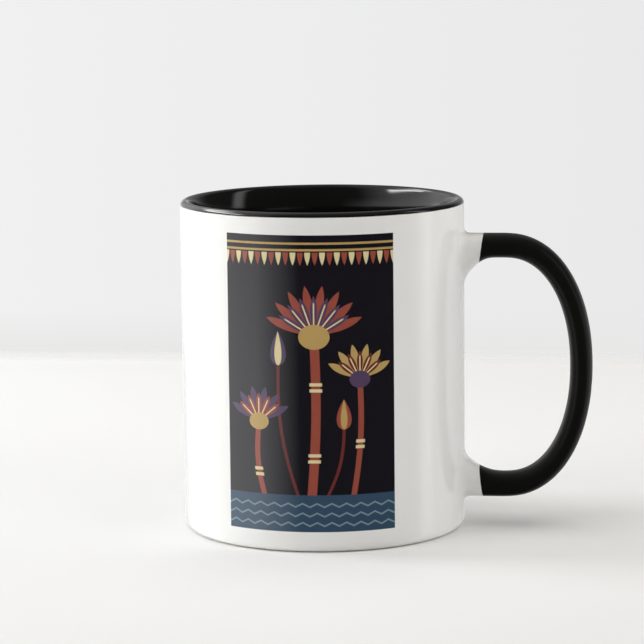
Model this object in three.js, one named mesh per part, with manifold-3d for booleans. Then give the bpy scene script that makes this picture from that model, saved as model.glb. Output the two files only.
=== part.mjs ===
// A straight-sided ceramic mug with a D-shaped handle, fired as one piece.
// Millimetres, +Z up. The table is at z = 0, the handle points along +X, and the origin is
// on the table in the middle of the mug's overall footprint.

import * as THREE from "three";
import { mergeVertices } from "three/addons/utils/BufferGeometryUtils.js";
import Module from "manifold-3d";

// Body
const bodyRadius = 41;
const bodyHeight = 95.5;
const wallThicknessAtFloor = 4.8;
const floorThickness = 6;
const floorFilletRadius = 7;

// Lip: it rolls over to the inside until it is this steep, in degrees from upright, and a long
// curve then thickens the wall down to where it is upright
const lipOuterRadius = 1.5;
const lipInnerRadius = 1.55;
const lipEndSteepness = 20;
const lipCurveRadius = 22;

// Foot
const footCornerRadius = 2.6;
const footRingWidth = 3.5;
const footRecessDepth = 1.8;

// Line of the handle: two level arms, and half a superellipse between them
const handleReach = 78;
const handleCentreHeight = 47;
const armSpacing = 69.8;
const armLength = 12.3;
const loopExponent = 2.14;

// Section of the handle, a superellipse that is thickest at the arms
const handleWidth = 12.8;
const gripThickness = 6.5;
const armThickness = 6.9;
const sectionExponent = 2.5;
const thickeningExponent = 4;

// How the arms swell towards the wall: the height each side gains, and the length it takes
const upperWebHeight = 6.4;
const upperWebLength = 8.4;
const lowerWebHeight = 5.2;
const lowerWebLength = 10.5;
const sideSwell = 1.4;
const sideSwellLength = 6;
const jointFilletRadius = 1.5;

// Facets
const bodySegments = 96;
const arcDivisions = 2;
const sectionPoints = 24;
const handleSteps = 64;
const stepCrowding = 0.72;
const loopLengthSamples = 800;

// Clay
const glazeColour = 0xf4f4f1;
const glazeRoughness = 0.12;

const wasm = await Module();
wasm.setup();

// Half of the body's cut face: x is the distance from the axis and y the height. It runs under
// the foot, up the outside, over the lip and down to the middle of the inside floor.
function bodyProfile() {
  const footOuterRadius = bodyRadius - footCornerRadius;
  const footInnerRadius = footOuterRadius - footRingWidth;
  const recessMiddle = footInnerRadius - footRecessDepth;
  const lipCrest = bodyRadius - lipOuterRadius;
  const steepness = THREE.MathUtils.degToRad(lipEndSteepness);
  const curveMiddle = lipCrest + (lipCurveRadius - lipInnerRadius) * Math.cos(steepness);
  const curveFoot =
    bodyHeight - lipInnerRadius - (lipCurveRadius - lipInnerRadius) * Math.sin(steepness);
  const floorHeight = footRecessDepth + floorThickness;
  const filletMiddle = bodyRadius - wallThicknessAtFloor - floorFilletRadius;
  const down = -Math.PI / 2;
  const up = Math.PI / 2;

  const profile = new THREE.Path();
  profile.moveTo(0, footRecessDepth);
  profile.lineTo(recessMiddle, footRecessDepth);
  profile.absarc(recessMiddle, 0, footRecessDepth, up, 0, true);
  profile.absarc(footOuterRadius, footCornerRadius, footCornerRadius, down, 0);
  profile.absarc(lipCrest, bodyHeight - lipOuterRadius, lipOuterRadius, 0, up);
  profile.absarc(
    lipCrest,
    bodyHeight - lipInnerRadius,
    lipInnerRadius,
    up,
    Math.PI - steepness,
  );
  profile.absarc(curveMiddle, curveFoot, lipCurveRadius, Math.PI - steepness, Math.PI);
  profile.absarc(filletMiddle, floorHeight + floorFilletRadius, floorFilletRadius, 0, down, true);
  profile.lineTo(0, floorHeight);
  return profile.getPoints(arcDivisions);
}

function bodyGeometry() {
  return new THREE.LatheGeometry(bodyProfile(), bodySegments).rotateX(Math.PI / 2);
}

function signedPower(value, power) {
  return Math.sign(value) * Math.abs(value) ** power;
}

// The handle's centreline in the plane y = 0, from inside the wall at the upper arm round to
// inside the wall at the lower arm. x is the distance from the body's axis.
class HandleLine extends THREE.Curve {
  constructor() {
    super();
    this.rootX = bodyRadius - wallThicknessAtFloor / 2;
    this.shoulderX = bodyRadius + armLength;
    this.loopDepth = handleReach - gripThickness / 2 - this.shoulderX;
    this.armDepth = this.shoulderX - this.rootX;
    this.armShare = this.armDepth / (2 * this.armDepth + armSpacing + this.loopDepth);
    this.arcLengthDivisions = loopLengthSamples;
  }

  getPoint(t, target = new THREE.Vector3()) {
    const towardsArm = Math.min(t, 1 - t);
    const side = t < 0.5 ? 1 : -1;
    if (towardsArm < this.armShare) {
      const x = this.rootX + (this.armDepth * towardsArm) / this.armShare;
      return target.set(x, 0, handleCentreHeight + (side * armSpacing) / 2);
    }
    const swept = (Math.PI * (t - this.armShare)) / (1 - 2 * this.armShare);
    const power = 2 / loopExponent;
    const x = this.shoulderX + this.loopDepth * signedPower(Math.sin(swept), power);
    const z = handleCentreHeight + (armSpacing / 2) * signedPower(Math.cos(swept), power);
    return target.set(x, 0, z);
  }
}

// How far a web of the given height still stands out at this distance from the wall
function webSwell(distance, height, length) {
  return height * Math.max(0, 1 - distance / length) ** 2;
}

function jointFillet(distance) {
  const inside = Math.min(jointFilletRadius, Math.max(0, jointFilletRadius - distance));
  return jointFilletRadius - Math.sqrt(jointFilletRadius ** 2 - inside ** 2);
}

// Half sizes of the section at one point of the line: towards the outside of the loop, towards
// the inside of the loop, and sideways
function sectionAt(point) {
  const rise = (2 * (point.z - handleCentreHeight)) / armSpacing;
  const thickening = (armThickness - gripThickness) * Math.abs(rise) ** thickeningExponent;
  const half = (gripThickness + thickening) / 2;
  const distance = Math.max(0, point.x - bodyRadius);
  const fillet = jointFillet(distance);
  const web =
    rise > 0
      ? webSwell(distance, upperWebHeight, upperWebLength)
      : webSwell(distance, lowerWebHeight, lowerWebLength);
  return {
    outward: half + fillet,
    inward: half + fillet + web,
    sideways: handleWidth / 2 + fillet + webSwell(distance, sideSwell, sideSwellLength),
  };
}

// How much closer to the axis the wall is at this distance to the side of the handle's plane,
// fading out along the arm, so that the arm's end follows the round wall
function wallFallAway(sideways, pointX) {
  const fading = Math.max(0, 1 - Math.max(0, pointX - bodyRadius) / armLength);
  return (bodyRadius - Math.sqrt(bodyRadius ** 2 - sideways ** 2)) * fading;
}

// A straight bar of the handle's section, one unit long and wide, bent along the line
function handleGeometry() {
  const outline = [];
  for (let i = 0; i < sectionPoints; i += 1) {
    const angle = (2 * Math.PI * i) / sectionPoints;
    const power = 2 / sectionExponent;
    const across = signedPower(Math.cos(angle), power);
    const sideways = signedPower(Math.sin(angle), power);
    outline.push(new THREE.Vector2(across, sideways));
  }
  const bar = new THREE.ExtrudeGeometry(new THREE.Shape(outline), {
    depth: 1,
    steps: handleSteps,
    bevelEnabled: false,
  });

  const line = new HandleLine();
  const position = bar.getAttribute("position");
  for (let i = 0; i < position.count; i += 1) {
    const step = position.getZ(i);
    const along = step - (stepCrowding * Math.sin(2 * Math.PI * step)) / (2 * Math.PI);
    const point = line.getPointAt(along);
    const tangent = line.getTangentAt(along);
    const section = sectionAt(point);
    const across = position.getX(i) * (position.getX(i) > 0 ? section.outward : section.inward);
    const sideways = position.getY(i) * section.sideways;
    position.setXYZ(
      i,
      point.x - across * tangent.z - wallFallAway(sideways, point.x),
      -sideways,
      point.z + across * tangent.x,
    );
  }
  return bar;
}

// A closed geometry as a manifold-3d solid, without the flat triangles at a lathe's axis
function solidOf(geometry) {
  geometry.deleteAttribute("normal");
  geometry.deleteAttribute("uv");
  const merged = mergeVertices(geometry);
  const corners = merged.index.array;
  const triVerts = [];
  for (let i = 0; i < corners.length; i += 3) {
    const [a, b, c] = [corners[i], corners[i + 1], corners[i + 2]];
    if (a !== b && b !== c && c !== a) {
      triVerts.push(a, b, c);
    }
  }
  const vertProperties = merged.getAttribute("position").array;
  return new wasm.Manifold(
    new wasm.Mesh({ numProp: 3, vertProperties, triVerts: new Uint32Array(triVerts) }),
  );
}

function geometryOf(solid) {
  const { vertProperties, triVerts } = solid.getMesh();
  const geometry = new THREE.BufferGeometry();
  geometry.setAttribute("position", new THREE.BufferAttribute(vertProperties, 3));
  geometry.setIndex(new THREE.BufferAttribute(triVerts, 1));
  geometry.computeVertexNormals();
  return geometry;
}

const clay = new THREE.MeshStandardMaterial({
  color: glazeColour,
  roughness: glazeRoughness,
  metalness: 0,
});

const mug = new THREE.Mesh(geometryOf(solidOf(bodyGeometry()).add(solidOf(handleGeometry()))), clay);
mug.name = "mug";
mug.position.x = -(handleReach - bodyRadius) / 2;

const group = new THREE.Group();
group.add(mug);

export default group;
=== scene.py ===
"""A two-tone glazed mug with a printed panel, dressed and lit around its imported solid.

Sizes are in millimetres unless a name says otherwise, and the scene is in metres. The mug's own
axis is the line that the body was turned about, and the handle points along +X.
"""

import logging
import math
from collections.abc import Mapping, Sequence
from dataclasses import dataclass, field, replace
from enum import Enum
from typing import Union

import bmesh
import bpy
from mathutils import Matrix, Vector

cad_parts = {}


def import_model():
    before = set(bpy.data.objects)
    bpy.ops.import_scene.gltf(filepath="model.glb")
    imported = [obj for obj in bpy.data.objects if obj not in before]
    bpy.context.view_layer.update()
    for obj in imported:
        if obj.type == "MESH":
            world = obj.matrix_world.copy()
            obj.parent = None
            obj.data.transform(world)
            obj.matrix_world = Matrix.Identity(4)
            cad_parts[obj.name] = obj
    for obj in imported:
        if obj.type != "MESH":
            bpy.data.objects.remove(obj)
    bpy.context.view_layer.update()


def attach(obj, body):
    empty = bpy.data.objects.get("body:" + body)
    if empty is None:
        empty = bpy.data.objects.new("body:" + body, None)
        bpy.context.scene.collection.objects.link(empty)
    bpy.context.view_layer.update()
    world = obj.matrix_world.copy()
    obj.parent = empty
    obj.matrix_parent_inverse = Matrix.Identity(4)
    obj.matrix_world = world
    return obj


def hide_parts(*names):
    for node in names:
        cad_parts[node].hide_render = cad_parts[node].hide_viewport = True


LOG = logging.getLogger("mug")

MM = 0.001
WELD = 0.001
AXIS_X = -18.5

Colour = tuple[float, float, float]
Feed = Union["Varying", bpy.types.NodeSocket, float, Sequence[float]]


class Varying:
    """A number that varies over a surface. Python's operators on it add Math nodes."""

    def __init__(self, graph: "Graph", socket: bpy.types.NodeSocket) -> None:
        """Holds the socket that gives the number, and the graph that it is in."""
        self.graph = graph
        self.socket = socket

    def __add__(self, other: Feed) -> "Varying":
        """The sum."""
        return self.graph.maths("ADD", self, other)

    def __radd__(self, other: float) -> "Varying":
        """The sum, with a plain number first."""
        return self.graph.maths("ADD", other, self)

    def __sub__(self, other: Feed) -> "Varying":
        """The difference."""
        return self.graph.maths("SUBTRACT", self, other)

    def __rsub__(self, other: float) -> "Varying":
        """The difference, with a plain number first."""
        return self.graph.maths("SUBTRACT", other, self)

    def __mul__(self, other: Feed) -> "Varying":
        """The product, which also joins two masks into where both hold."""
        return self.graph.maths("MULTIPLY", self, other)

    def __rmul__(self, other: float) -> "Varying":
        """The product, with a plain number first."""
        return self.graph.maths("MULTIPLY", other, self)

    def __truediv__(self, other: Feed) -> "Varying":
        """The quotient."""
        return self.graph.maths("DIVIDE", self, other)

    def __pow__(self, other: Feed) -> "Varying":
        """The power."""
        return self.graph.maths("POWER", self, other)

    def __neg__(self) -> "Varying":
        """The number with its sign turned."""
        return self.graph.maths("MULTIPLY", self, -1.0)

    def __abs__(self) -> "Varying":
        """The number without its sign."""
        return self.graph.maths("ABSOLUTE", self)

    def root(self) -> "Varying":
        """The square root."""
        return self.graph.maths("SQRT", self)

    def sine(self) -> "Varying":
        """The sine of an angle in radians."""
        return self.graph.maths("SINE", self)

    def larger(self, other: Feed) -> "Varying":
        """The larger of two, which also joins two masks into where either holds."""
        return self.graph.maths("MAXIMUM", self, other)

    def smaller(self, other: Feed) -> "Varying":
        """The smaller of two."""
        return self.graph.maths("MINIMUM", self, other)

    def fold(self, period: float) -> "Varying":
        """How far the number is from the nearest whole number of periods."""
        return self.graph.maths("PINGPONG", self, period / 2)

    def over(self, limit: Feed, blur: float) -> "Varying":
        """A mask that is 1 where the number is over a limit, with an edge as wide as blur."""
        return self.graph.maths("MULTIPLY_ADD", self - limit, 1 / blur, 0.5, clamp=True)

    def under(self, limit: Feed, blur: float) -> "Varying":
        """A mask that is 1 where the number is under a limit, with an edge as wide as blur."""
        return self.graph.maths("MULTIPLY_ADD", self - limit, -1 / blur, 0.5, clamp=True)

    def between(self, low: float, high: float, blur: float) -> "Varying":
        """A mask that is 1 from low to high, with edges as wide as blur."""
        return self.over(low, blur) * self.under(high, blur)


class Graph:
    """The nodes of one material or of the world."""

    def __init__(self, owner: bpy.types.ID) -> None:
        """Clears the nodes of the material or world that is given."""
        owner.use_nodes = True
        self.tree = owner.node_tree
        self.tree.nodes.clear()

    def node(
        self,
        kind: str,
        settings: Mapping[str, object] | None = None,
        inputs: Mapping[str | int, Feed] | None = None,
    ) -> bpy.types.Node:
        """Adds one node.

        Args:
            kind: The node's type.
            settings: Properties of the node, which are set before its sockets.
            inputs: A value or a link for each input socket, by name or number.

        Returns:
            The new node.
        """
        made = self.tree.nodes.new(kind)
        for name, value in (settings or {}).items():
            setattr(made, name, value)
        for key, value in (inputs or {}).items():
            source = value.socket if isinstance(value, Varying) else value
            if isinstance(source, bpy.types.NodeSocket):
                self.tree.links.new(source, made.inputs[key])
            else:
                made.inputs[key].default_value = source
        return made

    def maths(self, operation: str, *values: Feed, clamp: bool = False) -> Varying:
        """Adds a Math node and returns what it gives.

        Args:
            operation: The node's operation.
            values: Its inputs, in order.
            clamp: Whether the result is kept from 0 to 1.

        Returns:
            The result.
        """
        settings = {"operation": operation, "use_clamp": clamp}
        made = self.node("ShaderNodeMath", settings, dict(enumerate(values)))
        return Varying(self, made.outputs[0])

    def noise(self, place: bpy.types.NodeSocket, scale: float, detail: float = 2.0) -> Varying:
        """Adds smooth noise round zero.

        Args:
            place: The coordinates to read.
            scale: How many features there are to a unit of the coordinates.
            detail: How many finer layers are added.

        Returns:
            The noise, from about -0.5 to 0.5.
        """
        inputs = {"Vector": place, "Scale": scale, "Detail": detail}
        made = self.node("ShaderNodeTexNoise", {"noise_dimensions": "3D"}, inputs)
        return Varying(self, made.outputs[0]) - 0.5

    def blend(self, mask: Varying, first: Feed, second: Feed) -> bpy.types.NodeSocket:
        """Mixes two colours.

        Args:
            mask: How much of the second colour shows.
            first: The colour under it.
            second: The colour over it.

        Returns:
            The mixed colour.
        """
        inputs = {0: mask, 6: _opaque(first), 7: _opaque(second)}
        return self.node("ShaderNodeMix", {"data_type": "RGBA"}, inputs).outputs[2]


def _opaque(colour: Feed) -> Feed:
    """A plain colour with its fourth number, and a link as it is."""
    if isinstance(colour, (bpy.types.NodeSocket, Varying)):
        return colour
    return (*colour, 1.0)


def srgb(red: int, green: int, blue: int) -> Colour:
    """A colour given in screen values, as the linear values that a shader takes."""

    def linear(value: int) -> float:
        """One channel made linear."""
        share = value / 255
        return share / 12.92 if share <= 0.04045 else ((share + 0.055) / 1.055) ** 2.4

    return (linear(red), linear(green), linear(blue))


def signed_power(value: float, power: float) -> float:
    """A power of the number's size, with its sign kept."""
    return math.copysign(abs(value) ** power, value)


@dataclass(frozen=True)
class Swell:
    """How far the handle's section grows where it nears the wall."""

    height: float
    length: float

    def at(self, distance: float) -> float:
        """What the swell adds at a distance from the wall."""
        return self.height * max(0.0, 1 - distance / self.length) ** 2


@dataclass(frozen=True)
class JointPatch:
    """The part of the wall, between two heights, that is opened for one arm of the handle."""

    bottom: float
    top: float


@dataclass(frozen=True)
class Corner:
    """A corner of the body's half profile, and how it and the stretch after it are divided."""

    x: float
    z: float
    roundness: float = 0.0
    steps: int = 0
    cuts: int = 0


@dataclass
class MugBody:
    """The body, turned about its axis: foot, straight wall, rounded lip and hollow inside."""

    radius: float = 41.0
    height: float = 95.5
    wall_at_floor: float = 4.8
    floor_thickness: float = 6.0
    floor_fillet: float = 7.0
    lip_outer_roll: float = 1.5
    lip_inner_roll: float = 1.55
    lip_end_steepness: float = 20.0
    lip_curve: float = 22.0
    lip_flat: float = 0.05
    lip_rings: int = 6
    foot_corner: float = 2.6
    foot_ring_width: float = 3.5
    foot_recess: float = 1.8
    foot_cove: float = 1.5
    foot_inner_edge: float = 0.25
    hub_radius: float = 8.0
    segments: int = 120
    patch_segments: int = 10
    patch_rows: int = 10
    wall_rows: int = 13
    inside_rows: int = 21
    lower_patch: JointPatch = JointPatch(5.6, 24.1)
    upper_patch: JointPatch = JointPatch(69.0, 88.5)

    @property
    def inside_floor(self) -> float:
        """The height of the floor inside."""
        return self.foot_recess + self.floor_thickness

    def build(self, bm: bmesh.types.BMesh) -> None:
        """Turns the body and opens its wall where the handle's arms join it.

        Args:
            bm: The mesh that the body is added to.
        """
        self._draw_half(bm)
        bmesh.ops.spin(
            bm,
            geom=bm.verts[:] + bm.edges[:],
            cent=(0, 0, 0),
            axis=(0, 0, 1),
            angle=2 * math.pi,
            steps=self.segments,
            use_merge=True,
        )
        bmesh.ops.remove_doubles(bm, verts=bm.verts[:], dist=WELD)
        bmesh.ops.holes_fill(bm, edges=bm.edges[:], sides=self.segments)
        for patch in (self.lower_patch, self.upper_patch):
            self._open(bm, patch)

    def _draw_half(self, bm: bmesh.types.BMesh) -> None:
        """Draws half of the body's cut face as a chain of edges, with its corners rounded.

        Args:
            bm: The empty mesh that the chain is drawn in.
        """
        foot_outer = self.radius - self.foot_corner
        foot_inner = foot_outer - self.foot_ring_width
        floor_corner = self.radius - self.wall_at_floor
        crest = self.radius - self.lip_outer_roll
        corners = [
            Corner(self.hub_radius, self.foot_recess, cuts=4),
            Corner(foot_inner, self.foot_recess, self.foot_cove, 4),
            Corner(foot_inner, 0, self.foot_inner_edge, 2, cuts=2),
            Corner(self.radius, 0, self.foot_corner, 6, cuts=1),
            Corner(self.radius, self.lower_patch.bottom, cuts=self.patch_rows - 1),
            Corner(self.radius, self.lower_patch.top, cuts=self.wall_rows - 1),
            Corner(self.radius, self.upper_patch.bottom, cuts=self.patch_rows - 1),
            Corner(self.radius, self.upper_patch.top, cuts=2),
            Corner(self.radius, self.height, self.lip_outer_roll, 5),
            Corner(crest - self.lip_flat, self.height),
            *self._lip_inside(),
            Corner(floor_corner, self.inside_floor, self.floor_fillet, 8, cuts=4),
            Corner(self.hub_radius, self.inside_floor),
        ]
        verts = [bm.verts.new((corner.x, 0, corner.z)) for corner in corners]
        bm.faces.new(verts)
        middles = [
            (before.co + after.co) / 2 for before, after in zip(verts, verts[1:] + verts[:1])
        ]
        for vert, corner in zip(verts, corners):
            if corner.roundness:
                bmesh.ops.bevel(
                    bm,
                    geom=[vert],
                    offset=corner.roundness,
                    offset_type="OFFSET",
                    segments=corner.steps,
                    profile=0.5,
                    affect="VERTICES",
                    material=-1,
                )
        for middle, corner in zip(middles, corners):
            if corner.cuts:
                edge = self._edge_at(bm, middle)
                bmesh.ops.subdivide_edges(bm, edges=[edge], cuts=corner.cuts)
        bmesh.ops.delete(bm, geom=[self._edge_at(bm, middles[-1])], context="EDGES_FACES")
        bmesh.ops.remove_doubles(bm, verts=bm.verts[:], dist=WELD)

    def _lip_inside(self) -> list[Corner]:
        """Follows the lip's inner roll and the long curve under it.

        Returns:
            The places from the crest down, the last with the inside wall's rows after it.
        """
        crest = self.radius - self.lip_outer_roll
        steepness = math.radians(self.lip_end_steepness)
        roll_middle = self.height - self.lip_inner_roll
        reach = self.lip_curve - self.lip_inner_roll
        curve_middle = crest + reach * math.cos(steepness)
        curve_foot = roll_middle - reach * math.sin(steepness)
        places = []
        for ring in range(1, self.lip_rings + 1):
            angle = math.pi / 2 + (math.pi / 2 - steepness) * ring / self.lip_rings
            x = crest + self.lip_inner_roll * math.cos(angle)
            places.append(Corner(x, roll_middle + self.lip_inner_roll * math.sin(angle)))
        for ring in range(1, self.lip_rings + 1):
            angle = math.pi - steepness * (1 - ring / self.lip_rings)
            x = curve_middle + self.lip_curve * math.cos(angle)
            places.append(Corner(x, curve_foot + self.lip_curve * math.sin(angle)))
        places[-1] = replace(places[-1], cuts=self.inside_rows - 1)
        return places

    @staticmethod
    def _edge_at(bm: bmesh.types.BMesh, point: Vector) -> bmesh.types.BMEdge:
        """Finds the edge that a point lies on.

        Args:
            bm: The mesh that holds the edge.
            point: The point.

        Returns:
            The edge.
        """

        def detour(edge: bmesh.types.BMEdge) -> float:
            """How much longer the way along the edge is by the point than straight."""
            return sum((vert.co - point).length for vert in edge.verts) - edge.calc_length()

        return min(bm.edges, key=detour)

    def _open(self, bm: bmesh.types.BMesh, patch: JointPatch) -> None:
        """Takes away the wall's faces that one arm covers.

        Args:
            bm: The mesh that holds the body.
            patch: Which part of the wall to open.
        """
        half_angle = math.pi * self.patch_segments / self.segments
        covered = []
        for face in bm.faces:
            middle = face.calc_center_median()
            on_wall = math.hypot(middle.x, middle.y) > self.radius - 0.5
            within = abs(math.atan2(middle.y, middle.x)) < half_angle
            if on_wall and within and patch.bottom < middle.z < patch.top:
                covered.append(face)
        bmesh.ops.delete(bm, geom=covered, context="FACES")


@dataclass
class MugHandle:
    """The handle, a rounded bar bent into a D that swells and flows into the wall at both ends."""

    wall_radius: float
    reach: float = 78.0
    centre_height: float = 47.0
    arm_spacing: float = 69.8
    arm_length: float = 12.3
    loop_exponent: float = 2.14
    width: float = 12.8
    grip_thickness: float = 6.5
    arm_thickness: float = 6.9
    section_exponent: float = 2.5
    upper_web: Swell = Swell(6.4, 8.4)
    lower_web: Swell = Swell(5.2, 10.5)
    side_swell: Swell = Swell(1.4, 6.0)
    joint_fillet: float = 1.5
    thickening_exponent: float = 4.0
    section_points: int = 40
    fillet_rings: int = 4
    arm_rings: int = 8
    arm_crowding: float = 1.3
    loop_rings: int = 40
    loop_samples: int = 2000
    heading_samples: int = 4

    def build(self, bm: bmesh.types.BMesh) -> None:
        """Bends a straight open tube along the handle's line.

        Args:
            bm: The empty mesh that the handle is made in.
        """
        line = self._line()
        self._tube(bm, len(line))
        for vert in bm.verts:
            step = round((vert.co.z + 0.5) * (len(line) - 1))
            angle = math.atan2(vert.co.y, vert.co.x)
            vert.co = self._skin(line[step], angle)

    def join(self, bm: bmesh.types.BMesh) -> None:
        """Joins both ends of the handle to the wall.

        Args:
            bm: The mesh that holds the handle, and the body with its wall open at both joints.
        """
        for above in (True, False):
            self._bridge(bm, above)

    def _tube(self, bm: bmesh.types.BMesh, rings: int) -> None:
        """Makes a straight open tube, one unit long and wide.

        Args:
            bm: The empty mesh that the tube is made in.
            rings: How many rings of points it has.
        """
        bmesh.ops.create_cone(
            bm,
            cap_ends=False,
            segments=self.section_points,
            radius1=1,
            radius2=1,
            depth=1,
        )
        lengthwise = [
            edge for edge in bm.edges if abs(edge.verts[0].co.z - edge.verts[1].co.z) > 0.5
        ]
        bmesh.ops.subdivide_edges(bm, edges=lengthwise, cuts=rings - 2, use_grid_fill=True)

    def _line(self) -> list[tuple[Vector, Vector]]:
        """Finds the places of the rings along the handle.

        Returns:
            A point of the line and the way that it heads there, for each ring.
        """
        arm = [
            self.joint_fillet * (1 - math.cos(math.pi / 2 * ring / self.fillet_rings))
            for ring in range(self.fillet_rings)
        ]
        rest = self.arm_length - self.joint_fillet
        arm += [
            self.joint_fillet + rest * (ring / self.arm_rings) ** self.arm_crowding
            for ring in range(self.arm_rings)
        ]
        top = self.centre_height + self.arm_spacing / 2
        low = self.centre_height - self.arm_spacing / 2
        upper = [(Vector((self.wall_radius + far, 0, top)), Vector((1, 0, 0))) for far in arm]
        lower = [(Vector((self.wall_radius + far, 0, low)), Vector((-1, 0, 0))) for far in arm]
        return upper + self._loop() + lower[::-1]

    def _loop(self) -> list[tuple[Vector, Vector]]:
        """Finds evenly spaced places along the half round part, from shoulder to shoulder.

        Returns:
            A point of the line and the way that it heads there, for each ring.
        """
        shoulder = self.wall_radius + self.arm_length
        depth = self.reach - self.grip_thickness / 2 - shoulder
        power = 2 / self.loop_exponent
        points = []
        for sample in range(self.loop_samples + 1):
            turn = math.pi * sample / self.loop_samples
            x = shoulder + depth * abs(math.sin(turn)) ** power
            z = self.centre_height + self.arm_spacing / 2 * signed_power(math.cos(turn), power)
            points.append(Vector((x, 0, z)))
        lengths = [0.0]
        for before, after in zip(points, points[1:]):
            lengths.append(lengths[-1] + (after - before).length)
        places = []
        sample = 0
        for ring in range(self.loop_rings + 1):
            target = lengths[-1] * ring / self.loop_rings
            while sample < self.loop_samples - 1 and lengths[sample + 1] < target:
                sample += 1
            step = points[sample + 1] - points[sample]
            share = (target - lengths[sample]) / step.length
            before = points[max(0, sample - self.heading_samples)]
            after = points[min(self.loop_samples, sample + 1 + self.heading_samples)]
            places.append((points[sample] + step * share, (after - before).normalized()))
        places[0] = (places[0][0], Vector((1, 0, 0)))
        places[-1] = (places[-1][0], Vector((-1, 0, 0)))
        return places

    def _skin(self, place: tuple[Vector, Vector], angle: float) -> Vector:
        """Finds one point of the handle's surface.

        Args:
            place: A point of the handle's line and the way that it heads there.
            angle: Which way from the line the point lies, from outward round to sideways.

        Returns:
            The point.
        """
        middle, heading = place
        rise = (middle.z - self.centre_height) / (self.arm_spacing / 2)
        swelling = abs(rise) ** self.thickening_exponent
        thickening = (self.arm_thickness - self.grip_thickness) * swelling
        distance = max(0.0, middle.x - self.wall_radius)
        left = max(0.0, self.joint_fillet - distance)
        fillet = self.joint_fillet - math.sqrt(self.joint_fillet**2 - left**2)
        half = (self.grip_thickness + thickening) / 2 + fillet
        web = self.upper_web if rise > 0 else self.lower_web
        power = 2 / self.section_exponent
        across = signed_power(math.cos(angle), power)
        across *= half if across > 0 else half + web.at(distance)
        sideways = signed_power(math.sin(angle), power)
        sideways *= self.width / 2 + fillet + self.side_swell.at(distance)
        fading = max(0.0, 1 - distance / self.arm_length)
        fall_away = self.wall_radius - math.sqrt(self.wall_radius**2 - sideways**2)
        return Vector(
            (
                middle.x - across * heading.z - fall_away * fading,
                -sideways,
                middle.z + across * heading.x,
            )
        )

    def _bridge(self, bm: bmesh.types.BMesh, above: bool) -> None:
        """Bridges one end of the handle to the opening in the wall, along the round wall.

        Args:
            bm: The mesh that holds both.
            above: Whether it is the upper end.
        """
        rims = [
            edge
            for edge in bm.edges
            if edge.is_boundary and (edge.verts[0].co.z > self.centre_height) == above
        ]
        rim_points = {vert for edge in rims for vert in edge.verts}
        made = bmesh.ops.bridge_loops(bm, edges=rims)
        spokes = [
            edge
            for edge in made["edges"]
            if edge not in rims and all(vert in rim_points for vert in edge.verts)
        ]
        cut = bmesh.ops.subdivide_edges(bm, edges=spokes, cuts=1, use_grid_fill=True)
        between = {item for item in cut["geom_inner"] if isinstance(item, bmesh.types.BMVert)}
        for vert in between:
            stretch = self.wall_radius / math.hypot(vert.co.x, vert.co.y)
            vert.co = Vector((vert.co.x * stretch, vert.co.y * stretch, vert.co.z))


@dataclass(frozen=True)
class Gloss:
    """How one finish looks: its colour and how blurred its reflections are."""

    colour: Colour
    roughness: float


class Pigment(Enum):
    """The colours of the printed panel."""

    NIGHT = srgb(22, 20, 27)
    WATER = srgb(52, 76, 98)
    RIPPLE = srgb(118, 140, 150)
    CLAY = srgb(152, 76, 62)
    RUST = srgb(108, 47, 45)
    CREAM = srgb(222, 208, 160)
    GOLD = srgb(186, 156, 96)
    PLUM = srgb(84, 66, 96)


@dataclass
class Painting:
    """A picture as it is laid down, one flat colour over the last."""

    graph: Graph
    across: Varying
    up: Varying
    colour: Feed
    blur: float = 0.16

    def lay(self, mask: Varying, pigment: Pigment) -> None:
        """Covers what a mask shows with one colour."""
        self.colour = self.graph.blend(mask, self.colour, pigment.value)


@dataclass(frozen=True)
class Water:
    """A band of water along the panel's foot, with zigzag ripples."""

    depth: float = 10.5
    ripples: tuple[float, ...] = (2.2, 4.9, 7.6)
    wave_length: float = 4.1
    wave_height: float = 1.0
    line: float = 0.5

    def paint(self, painting: Painting) -> None:
        """Lays the band and its ripples on the picture.

        Args:
            painting: The picture as it is so far.
        """
        blur = painting.blur
        painting.lay(painting.up.under(self.depth, blur), Pigment.WATER)
        zigzag = painting.across.fold(self.wave_length) * (2 * self.wave_height / self.wave_length)
        for height in self.ripples:
            away = abs(painting.up - zigzag - (height - self.wave_height / 2))
            painting.lay(away.under(self.line / 2, blur), Pigment.RIPPLE)


@dataclass(frozen=True)
class Stem:
    """A stem that rises from the water in a slight bow, with ties round it."""

    root: float
    foot: float
    tip: tuple[float, float]
    width: float
    bow: float
    pigment: Pigment
    ties: tuple[float, ...] = ()
    half_tie: float = 0.45

    def paint(self, painting: Painting) -> None:
        """Lays the stem and its ties on the picture.

        Args:
            painting: The picture as it is so far.
        """
        blur = painting.blur
        share = (painting.up - self.foot) / (self.tip[1] - self.foot)
        bowed = (share * math.pi).sine() * self.bow
        middle = share * (self.tip[0] - self.root) + bowed + self.root
        away = abs(painting.across - middle)
        length = painting.up.between(self.foot, self.tip[1], blur)
        painting.lay(away.under(self.width / 2, blur) * length, self.pigment)
        for height in self.ties:
            band = abs(painting.up - height).under(self.half_tie, blur)
            tied = away.under(self.width / 2 + self.half_tie, blur) * band
            painting.lay(tied, Pigment.CREAM)


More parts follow.
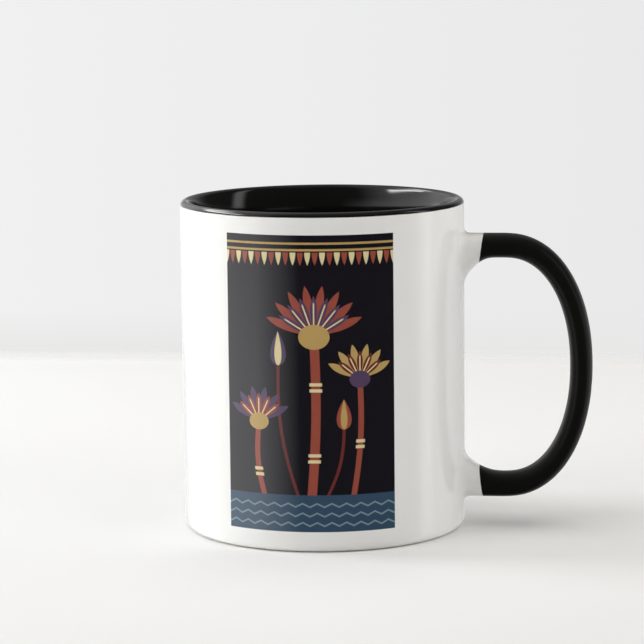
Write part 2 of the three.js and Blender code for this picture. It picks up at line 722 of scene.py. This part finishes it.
@dataclass(frozen=True)
class Bloom:
    """An open lotus seen from the side, a fan of pointed petals in two rows over a small cup."""

    base: tuple[float, float]
    size: float
    petals: int
    spread: float
    behind: Pigment
    front: Pigment
    cup: Pigment
    vein: Pigment = Pigment.CREAM
    front_share: float = 0.8
    cup_share: float = 0.3
    petal_fullness: float = 3.2

    def paint(self, painting: Painting) -> None:
        """Lays the flower on the picture.

        Args:
            painting: The picture as it is so far.
        """
        blur = painting.blur
        aside = painting.across - self.base[0]
        above = painting.up - self.base[1]
        reach = (aside * aside + above * above).root()
        angle = painting.graph.maths("ARCTAN2", aside, above)
        pitch = math.radians(self.spread) / self.petals
        rows = (
            (self.behind, self.size, 0.0),
            (self.front, self.size * self.front_share, 0.5),
        )
        for pigment, length, shift in rows:
            share = reach / length
            turned = angle / pitch + (0.5 * (self.petals % 2 == 0) + shift)
            aside_petal = turned.fold(1.0) * 2
            edge = (1 - share**self.petal_fullness).smaller(0.9)
            count = self.petals - (shift > 0)
            fan = abs(angle).under(pitch * count / 2, 0.02)
            petal = (edge - aside_petal).over(0, 0.06) * fan
            painting.lay(petal, pigment)
            if shift:
                vein = (aside_petal * share).under(0.1, 0.05) * share.between(0.25, 0.82, 0.06)
                painting.lay(vein * fan, self.vein)
        wide = self.size * self.cup_share
        high = wide * 0.8
        cup = (aside * aside / wide**2 + above * above / high**2).root()
        painting.lay(cup.under(1, blur / wide), self.cup)


@dataclass(frozen=True)
class Bud:
    """A closed lotus bud, an upright drop with a dark line up its middle."""

    base: tuple[float, float]
    length: float
    width: float
    pigment: Pigment
    line: Pigment

    def paint(self, painting: Painting) -> None:
        """Lays the bud on the picture.

        Args:
            painting: The picture as it is so far.
        """
        share = (painting.up - self.base[1]) / self.length
        kept = share.larger(0.0).smaller(1.0)
        half = (kept * (1 - kept) * (1 - kept)).root() * (self.width * 1.3)
        away = abs(painting.across - self.base[0])
        bud = (half - away).over(0, painting.blur) * share.between(0, 1, 0.02)
        painting.lay(bud, self.pigment)
        painting.lay(bud * (half * 0.45 - away).over(0, painting.blur), self.line)


@dataclass(frozen=True)
class Frieze:
    """A border along the panel's head: two fine lines with a row of hanging petals under them."""

    top: float
    pitch: float
    drop: float
    line: float = 0.6

    def paint(self, painting: Painting) -> None:
        """Lays the border on the picture.

        Args:
            painting: The picture as it is so far.
        """
        blur = painting.blur
        below = self.top - painting.up
        for height in (0.0, self.line * 3):
            painting.lay(below.between(height, height + self.line, blur), Pigment.GOLD)
        start = self.line * 4.6
        share = (below - start) / self.drop
        kept = share.larger(0.0).smaller(1.0)
        half = (1 - kept**2) * (self.pitch * 0.4)
        rows = ((Pigment.CLAY, self.pitch), (Pigment.CREAM, 0.0))
        for pigment, shift in rows:
            away = (painting.across + shift).fold(2 * self.pitch)
            petal = (half - away).over(0, blur) * share.between(0, 1, 0.04)
            painting.lay(petal, pigment)


@dataclass(frozen=True)
class PrintedPanel:
    """The panel that is printed on the wall, opposite the eye, under a clear gloss coat."""

    width: float = 49.3
    bottom: float = 6.1
    top: float = 89.4
    edge: float = 0.1
    roughness: float = 0.16

    def mask(self, across: Varying, up: Varying, outside: Varying) -> Varying:
        """Finds where the panel covers the wall.

        Args:
            across: The distance along the wall from the panel's middle.
            up: The height over the table.
            outside: The mask of the wall's outside.

        Returns:
            The mask of the panel.
        """
        columns = abs(across).under(self.width / 2, self.edge)
        rows = up.between(self.bottom, self.top, self.edge)
        return columns * rows * outside

    def motifs(self) -> list[Water | Stem | Bloom | Bud | Frieze]:
        """The picture's parts in the order that they are laid down."""
        ground = 8.0
        return [
            Stem(-2.5, ground, (-8.6, 47.5), 0.9, -2.2, Pigment.RUST),
            Stem(4.0, ground, (9.8, 29.5), 0.9, 1.6, Pigment.RUST),
            Stem(-12.5, ground, (-14.6, 31.0), 1.6, -1.4, Pigment.CLAY, (16.0, 17.6)),
            Stem(12.0, ground, (14.4, 43.0), 1.6, 1.2, Pigment.CLAY, (24.0, 25.6)),
            Stem(0.5, ground, (1.6, 55.0), 2.6, 0.9, Pigment.CLAY, (20.0, 21.7, 40.0, 41.7)),
            Bud((-8.6, 47.0), 9.5, 4.6, Pigment.PLUM, Pigment.CREAM),
            Bud((9.8, 29.0), 8.5, 4.2, Pigment.CLAY, Pigment.GOLD),
            Bloom((-14.6, 31.0), 10.0, 6, 150, Pigment.PLUM, Pigment.CLAY, Pigment.GOLD),
            Bloom((14.4, 43.0), 10.0, 6, 150, Pigment.GOLD, Pigment.RUST, Pigment.PLUM),
            Bloom((1.6, 55.0), 14.5, 8, 156, Pigment.CLAY, Pigment.PLUM, Pigment.GOLD),
            Water(),
            Frieze(81.3, 2.05, 3.6),
        ]

    def picture(self, graph: Graph, across: Varying, up: Varying) -> bpy.types.NodeSocket:
        """Draws the panel.

        Args:
            graph: The material's nodes.
            across: The distance along the wall from the panel's middle.
            up: The height over the table.

        Returns:
            The panel's colour.
        """
        painting = Painting(graph, across, up - self.bottom, Pigment.NIGHT.value)
        for motif in self.motifs():
            motif.paint(painting)
        return painting.colour


@dataclass(frozen=True)
class GlazedClay:
    """The mug's finish: white and black glaze, a printed panel and a foot ring left bare."""

    wall_radius: float
    lip_height: float
    handle_centre: float
    white: Gloss = Gloss((0.86, 0.86, 0.85), 0.1)
    warm_white: Colour = (0.85, 0.85, 0.83)
    black: Gloss = Gloss((0.0065, 0.0063, 0.006), 0.09)
    grip_roughness: float = 0.4
    grip_glaze: float = 0.12
    bare: Gloss = Gloss((0.62, 0.56, 0.47), 0.8)
    bare_grain: Colour = (0.68, 0.63, 0.55)
    peel_depth: float = 0.03
    panel: PrintedPanel = PrintedPanel()
    band_under_lip: float = 1.3
    inside_limit: float = 39.2
    inside_bottom: float = 5.0
    dip_start: float = 41.1
    dip_slant: float = 0.144
    waver: float = 0.22
    bare_height: float = 0.4
    edge: float = 0.12

    def material(self) -> bpy.types.Material:
        """Makes the mug's material.

        Returns:
            The material.
        """
        made = bpy.data.materials.new("mug_glaze")
        graph = Graph(made)
        place = graph.node("ShaderNodeTexCoord").outputs["Object"]
        mapping = {"Vector": place, "Location": (-AXIS_X, 0, 0), "Scale": (1 / MM,) * 3}
        local = graph.node("ShaderNodeMapping", {"vector_type": "POINT"}, mapping).outputs[0]
        split = graph.node("ShaderNodeSeparateXYZ", None, {0: local})
        x, y, z = (Varying(graph, split.outputs[number]) for number in range(3))
        from_axis = (x * x + y * y).root()
        across = graph.maths("ARCTAN2", x, -y) * self.wall_radius
        drift = self.waver * graph.noise(local, 0.12)

        black = self._black(x, z, from_axis, drift)
        bare = z.under(drift * 0.6 + self.bare_height, self.edge)
        outside = from_axis.over(self.wall_radius - 1, 0.2)
        printed = self.panel.mask(across, z, outside)

        tint = graph.noise(local, 0.05)
        white = graph.blend(tint + 0.5, self.white.colour, self.warm_white)
        colour = graph.blend(printed, white, self.panel.picture(graph, across, z))
        colour = graph.blend(black, colour, self.black.colour)
        grain = graph.noise(local, 2.2, 4.0)
        clay = graph.blend(grain + 0.5, self.bare.colour, self.bare_grain)
        colour = graph.blend(bare, colour, clay)

        grip = black * x.over(self.dip_start, 2.0)
        glossy = black * (self.black.roughness - self.white.roughness) + self.white.roughness
        glossy = glossy + printed * (self.panel.roughness - self.white.roughness)
        glossy = glossy + grip * (self.grip_roughness - self.black.roughness)
        glossy = glossy + graph.noise(local, 0.4) * 0.03
        roughness = glossy + bare * (self.bare.roughness - self.white.roughness)
        glaze = (1.0 - bare) * (1.0 - grip * (1.0 - self.grip_glaze))
        peel = graph.noise(local, 0.16, 1.0) + grain * bare * 1.5
        bump = {"Height": peel, "Strength": 1.0, "Distance": self.peel_depth * MM}
        normal = graph.node("ShaderNodeBump", None, bump).outputs[0]
        inputs = {
            "Base Color": colour,
            "Roughness": roughness,
            "Normal": normal,
            "Specular IOR Level": 0.05,
            "Coat Weight": glaze,
            "Coat Roughness": 0.1,
            "Coat IOR": 1.46,
        }
        shader = graph.node("ShaderNodeBsdfPrincipled", None, inputs)
        graph.node("ShaderNodeOutputMaterial", None, {"Surface": shader.outputs[0]})
        return made

    def _black(self, x: Varying, z: Varying, from_axis: Varying, drift: Varying) -> Varying:
        """Finds where the black glaze is: inside, over the lip, and on the dipped handle.

        Args:
            x: The distance from the axis towards the handle.
            z: The height over the table.
            from_axis: The distance from the axis.
            drift: How far the glaze's edges waver.

        Returns:
            The mask of the black glaze.
        """
        over_lip = z.over(drift + (self.lip_height - self.band_under_lip), self.edge)
        inside = from_axis.under(self.inside_limit, 0.2) * z.over(self.inside_bottom, 0.2)
        slanted = abs(z - self.handle_centre) * self.dip_slant + self.dip_start
        dipped = x.over(drift + slanted, self.edge)
        return over_lip.larger(inside).larger(dipped)


@dataclass
class Mug:
    """The whole mug, body and handle in one closed skin."""

    body: MugBody = field(default_factory=MugBody)
    handle: MugHandle = field(init=False)

    def __post_init__(self) -> None:
        """Sizes the handle to the body."""
        self.handle = MugHandle(self.body.radius)

    def build(self) -> bpy.types.Object:
        """Makes the mug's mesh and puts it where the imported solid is.

        Returns:
            The mug.
        """
        turned = bmesh.new()
        self.body.build(turned)
        shell = bpy.data.meshes.new("turned_body")
        turned.to_mesh(shell)
        turned.free()
        bm = bmesh.new()
        self.handle.build(bm)
        bm.from_mesh(shell)
        bpy.data.meshes.remove(shell)
        self.handle.join(bm)
        bmesh.ops.recalc_face_normals(bm, faces=bm.faces[:])
        bmesh.ops.translate(bm, vec=(AXIS_X, 0, 0), verts=bm.verts[:])
        bmesh.ops.scale(bm, vec=(MM,) * 3, verts=bm.verts[:])
        for face in bm.faces:
            face.smooth = True
        mesh = bpy.data.meshes.new("glazed_mug")
        bm.to_mesh(mesh)
        bm.free()
        piece = bpy.data.objects.new("glazed_mug", mesh)
        bpy.context.scene.collection.objects.link(piece)
        rounding = piece.modifiers.new("rounding", "SUBSURF")
        rounding.levels = 1
        rounding.render_levels = 1
        return piece

    def dress(self, piece: bpy.types.Object) -> None:
        """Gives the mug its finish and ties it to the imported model.

        Args:
            piece: The mug.
        """
        finish = GlazedClay(self.body.radius, self.body.height, self.handle.centre_height)
        piece.data.materials.append(finish.material())
        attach(piece, "root")
        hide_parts("mug")


@dataclass(frozen=True)
class SoftBox:
    """A rectangular studio light that faces the mug."""

    name: str
    azimuth: float
    elevation: float
    distance: float
    width: float
    height: float
    radiance: float
    colour: Colour = (1.0, 1.0, 1.0)

    def build(self, target: Vector) -> bpy.types.Object:
        """Makes the light.

        Args:
            target: What it faces, in metres.

        Returns:
            The light.
        """
        lamp = bpy.data.lights.new(self.name, "AREA")
        lamp.shape = "RECTANGLE"
        lamp.size = self.width
        lamp.size_y = self.height
        lamp.energy = self.radiance * math.pi * self.width * self.height
        lamp.color = self.colour
        made = bpy.data.objects.new(self.name, lamp)
        turn, rise = math.radians(self.azimuth), math.radians(self.elevation)
        outward = Vector(
            (math.sin(turn) * math.cos(rise), -math.cos(turn) * math.cos(rise), math.sin(rise))
        )
        made.location = target + outward * self.distance
        made.rotation_euler = outward.to_track_quat("Z", "Y").to_euler()
        made.visible_glossy = False
        bpy.context.scene.collection.objects.link(made)
        return made


@dataclass(frozen=True)
class Glow:
    """A soft-edged bright patch of the set, given by the angles that it spans, in degrees."""

    azimuth: float
    half_width: float
    low: float
    high: float
    blur: float
    radiance: float

    def shine(self, graph: Graph, place: tuple[Varying, Varying], elevation: Varying) -> Varying:
        """How bright the patch is in each direction.

        Args:
            graph: The nodes of the dome's material.
            place: The direction's two level parts.
            elevation: The direction's angle over the horizon, in degrees.

        Returns:
            The brightness.
        """
        rise = elevation.between(self.low, self.high, self.blur)
        if self.half_width >= 180:
            return rise * self.radiance
        turn = math.radians(self.azimuth)
        ahead = place[0] * math.sin(turn) - place[1] * math.cos(turn)
        aside = place[0] * math.cos(turn) + place[1] * math.sin(turn)
        angle = abs(graph.maths("ARCTAN2", aside, ahead)) * math.degrees(1)
        return angle.under(self.half_width, self.blur) * rise * self.radiance


@dataclass(frozen=True)
class GlossDome:
    """The bright panels and dark room that the glaze mirrors. Only gloss sees the dome."""

    radius: float = 0.4
    height: float = 0.05
    dark: float = 0.05
    glows: tuple[Glow, ...] = (
        Glow(150, 52, -60, 8, 14, 0.58),
        Glow(226, 30, -60, 8, 14, 0.75),
        Glow(200, 50, 10, 75, 20, 0.2),
        Glow(0, 180, 70, 120, 30, 0.2),
        Glow(-74, 42, -60, 8, 34, 2.1),
        Glow(-98, 44, 8, 62, 40, 1.15),
        Glow(93, 7, -60, 14, 6, 1.2),
        Glow(93, 6, 14, 52, 6, 1.6),
        Glow(-88, 22, 31, 37, 4, 16),
        Glow(-112, 24, 38, 50, 5, 5),
    )

    def build(self) -> bpy.types.Object:
        """Makes the dome.

        Returns:
            The dome.
        """
        bm = bmesh.new()
        bmesh.ops.create_icosphere(bm, subdivisions=4, radius=self.radius)
        mesh = bpy.data.meshes.new("gloss_dome")
        bm.to_mesh(mesh)
        bm.free()
        dome = bpy.data.objects.new("gloss_dome", mesh)
        dome.location = (0, 0, self.height)
        dome.visible_camera = False
        dome.visible_diffuse = False
        dome.visible_shadow = False
        bpy.context.scene.collection.objects.link(dome)
        return dome

    def dress(self, dome: bpy.types.Object) -> None:
        """Gives the dome its glows, which light nothing themselves.

        Args:
            dome: The dome.
        """
        made = bpy.data.materials.new("panel_glow")
        made.cycles.emission_sampling = "NONE"
        graph = Graph(made)
        place = graph.node("ShaderNodeTexCoord").outputs["Object"]
        split = graph.node("ShaderNodeSeparateXYZ", None, {0: place})
        x, y, z = (Varying(graph, split.outputs[number]) for number in range(3))
        level = (x * x + y * y).root()
        elevation = graph.maths("ARCTAN2", z, level) * math.degrees(1)
        total: Feed = self.dark
        for glow in self.glows:
            total = total + glow.shine(graph, (x, y), elevation)
        inputs = {"Color": (1.0, 1.0, 1.0, 1.0), "Strength": total}
        shader = graph.node("ShaderNodeEmission", None, inputs)
        graph.node("ShaderNodeOutputMaterial", None, {"Surface": shader.outputs[0]})
        dome.data.materials.append(made)


@dataclass(frozen=True)
class StudioCamera:
    """The camera, where the mug is seen as it was pictured. Its place is in metres."""

    place: tuple[float, float, float] = (0.0644, -0.8026, 0.1793)
    turn: float = 5.92
    dip: float = 8.46
    roll: float = -0.59
    lens: float = 157.0
    sensor: float = 36.0

    def build(self) -> bpy.types.Object:
        """Makes the camera and makes it the scene's.

        Returns:
            The camera.
        """
        turn, dip, roll = (math.radians(angle) for angle in (self.turn, self.dip, self.roll))
        ahead = Vector(
            (-math.sin(turn) * math.cos(dip), math.cos(turn) * math.cos(dip), -math.sin(dip))
        )
        level = Vector((math.cos(turn), math.sin(turn), 0))
        upright = level.cross(ahead)
        right = level * math.cos(roll) + upright * math.sin(roll)
        up = upright * math.cos(roll) - level * math.sin(roll)
        lens = bpy.data.cameras.new("camera")
        lens.lens = self.lens
        lens.sensor_width = self.sensor
        lens.clip_start = 0.01
        lens.clip_end = 20
        camera = bpy.data.objects.new("camera", lens)
        axes = Matrix((right, up, -ahead)).transposed()
        camera.matrix_world = Matrix.Translation(self.place) @ axes.to_4x4()
        bpy.context.scene.collection.objects.link(camera)
        bpy.context.scene.camera = camera
        return camera


@dataclass(frozen=True)
class Table:
    """The pale table top, which fades out at its far edge. Its sizes are in metres."""

    half_width: float = 3.0
    front: float = -3.0
    back: float = 0.318
    fade: float = 0.03
    painted_shade_tone: Colour = (0.88, 0.88, 0.88)
    painted_light_tone: Colour = (0.985, 0.985, 0.98)

    def build(self) -> bpy.types.Object:
        """Makes the table top.

        Returns:
            The table top.
        """
        bm = bmesh.new()
        bmesh.ops.create_grid(bm, x_segments=2, y_segments=2, size=1)
        depth = (self.back - self.front) / 2
        bmesh.ops.scale(bm, vec=(self.half_width, depth, 1), verts=bm.verts[:])
        bmesh.ops.translate(bm, vec=(0, self.back - depth, 0), verts=bm.verts[:])
        mesh = bpy.data.meshes.new("table_top")
        bm.to_mesh(mesh)
        bm.free()
        table = bpy.data.objects.new("table_top", mesh)
        table.visible_glossy = False
        bpy.context.scene.collection.objects.link(table)
        return table

    def dress(self, table: bpy.types.Object) -> None:
        """Gives the table its tone, with painted light: paler behind the mug and to its left.

        Args:
            table: The table top.
        """
        made = bpy.data.materials.new("pale_table")
        graph = Graph(made)
        place = graph.node("ShaderNodeTexCoord").outputs["Object"]
        split = graph.node("ShaderNodeSeparateXYZ", None, {0: place})
        behind = Varying(graph, split.outputs[1])
        leftward = Varying(graph, split.outputs[0]).under(0, 0.25)
        beside, beyond = behind.over(-0.095, 0.12), behind.over(0.17, 0.26)
        # painted light and shade: the tone is paler where more light falls, behind the mug and to
        # the left
        painted_light = beside * 0.45 + beyond * 0.35 + leftward * 0.2
        gone = behind.over(self.back - self.fade / 2, self.fade)
        tone = graph.blend(painted_light, self.painted_shade_tone, self.painted_light_tone)
        matt = graph.node("ShaderNodeBsdfDiffuse", None, {"Color": tone})
        clear = graph.node("ShaderNodeBsdfTransparent")
        shaders = {0: gone, 1: matt.outputs[0], 2: clear.outputs[0]}
        mixed = graph.node("ShaderNodeMixShader", None, shaders)
        graph.node("ShaderNodeOutputMaterial", None, {"Surface": mixed.outputs[0]})
        table.data.materials.append(made)


@dataclass(frozen=True)
class Backdrop:
    """The pale wall behind, a world only the camera sees, with light and shade painted on."""

    shaded_right_tone: Colour = (0.812, 0.812, 0.82)
    lit_left_tone: Colour = (0.878, 0.878, 0.876)
    shaded_foot_tone: Colour = (0.81, 0.81, 0.805)

    def build(self) -> None:
        """Makes the world."""
        world = bpy.data.worlds.new("backdrop")
        bpy.context.scene.world = world
        graph = Graph(world)
        place = graph.node("ShaderNodeTexCoord").outputs["Generated"]
        split = graph.node("ShaderNodeSeparateXYZ", None, {0: place})
        # painted light: the wall is paler to the left, the side the light comes from
        leftward = Varying(graph, split.outputs[0]).under(-0.1, 0.26)
        colour = graph.blend(leftward, self.shaded_right_tone, self.lit_left_tone)
        # painted shade: a darker band along the wall's foot, where it meets the table
        foot = Varying(graph, split.outputs[2]).under(-0.148, 0.014)
        colour = graph.blend(foot, colour, self.shaded_foot_tone)
        tone = graph.node("ShaderNodeBackground", None, {"Color": colour, "Strength": 1.0})
        graph.node("ShaderNodeOutputWorld", None, {"Surface": tone.outputs[0]})
        world.cycles_visibility.diffuse = False
        world.cycles_visibility.glossy = False


@dataclass
class Studio:
    """What stands round the mug: camera, table, backdrop, gloss dome and lights."""

    camera: StudioCamera = StudioCamera()
    table: Table = Table()
    backdrop: Backdrop = Backdrop()
    dome: GlossDome = GlossDome()
    target_height: float = 0.05
    lights: tuple[SoftBox, ...] = (
        SoftBox("key_left", -98, 22, 0.9, 0.36, 0.36, 11.0, (0.96, 0.98, 1.0)),
        SoftBox("side_left", -57, 13, 1.0, 0.5, 0.4, 5.3, (1.0, 0.995, 0.98)),
        SoftBox("back_left", -135, 20, 1.1, 0.6, 0.6, 1.1, (0.98, 0.99, 1.0)),
        SoftBox("strip_right", 93, 12, 0.9, 0.28, 0.9, 1.8, (1.0, 0.985, 0.96)),
        SoftBox("overhead", 0, 82, 1.0, 1.6, 1.6, 0.97, (1.0, 0.975, 0.94)),
        SoftBox("fill_right", 60, 25, 1.3, 0.8, 0.8, 2.1, (1.0, 0.985, 0.96)),
        SoftBox("back_right", 122, 22, 1.2, 0.8, 0.8, 2.0, (1.0, 0.98, 0.95)),
    )

    def build(self) -> None:
        """Makes everything round the mug."""
        self.camera.build()
        self.table.dress(self.table.build())
        self.backdrop.build()
        self.dome.dress(self.dome.build())
        target = Vector((AXIS_X * MM, 0, self.target_height))
        for light in self.lights:
            light.build(target)
            LOG.info("light: %s", light.name)
        bpy.context.scene.view_settings.view_transform = "Standard"


def main() -> None:
    """Builds the mug and the studio round it."""
    logging.basicConfig(level=logging.INFO, format="%(message)s")
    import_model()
    Studio().build()
    mug = Mug()
    piece = mug.build()
    mug.dress(piece)
    LOG.info("piece: %s, %d faces before rounding", piece.name, len(piece.data.polygons))


if __name__ == "__main__":
    main()
